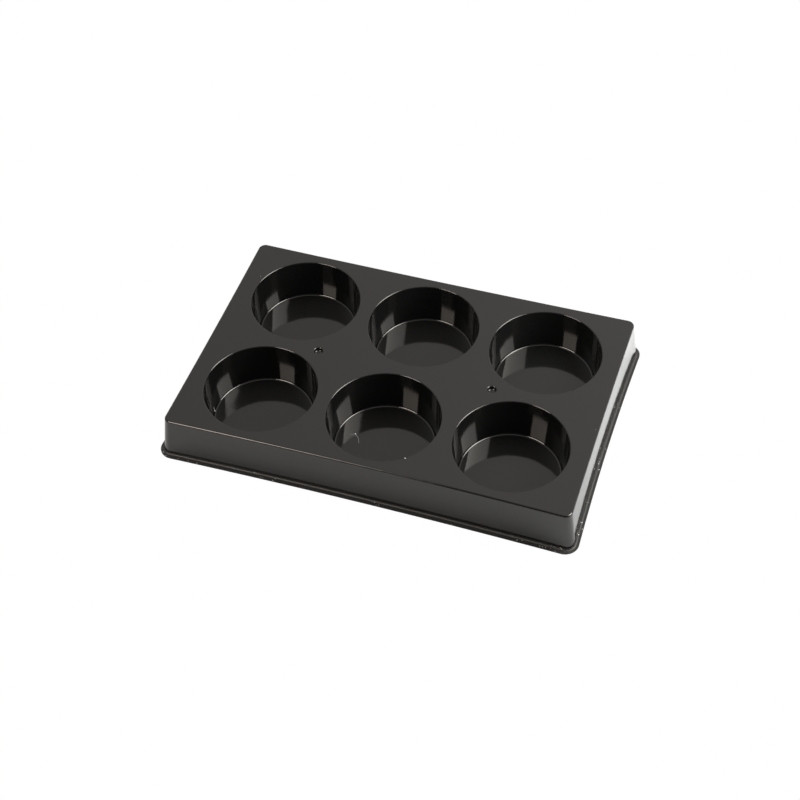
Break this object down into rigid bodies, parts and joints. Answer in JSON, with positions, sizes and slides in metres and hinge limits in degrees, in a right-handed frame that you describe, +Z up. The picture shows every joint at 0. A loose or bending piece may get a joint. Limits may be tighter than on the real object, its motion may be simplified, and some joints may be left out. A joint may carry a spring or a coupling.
{
  "type": "thermoformed plastic tray",
  "caption": "Black glossy thermoformed tray: a raised deck with a grid of round flat-bottomed cups, a drafted skirt and a flat foot flange, all one drawn sheet.",
  "frame": {"origin": "on the plane that the foot flange rests on, under the middle of the deck", "axes": "+Z up out of the cups, +X along the longer row of cups towards the right end, +Y across the rows towards the back"},
  "size_m": [0.399, 0.2642, 0.0424],
  "materials": {
    "tray": "gloss black, with dust and fine scuffs"
  },
  "bodies": {
    "root": {"tray": "tray"}
  },
  "joints": []
}
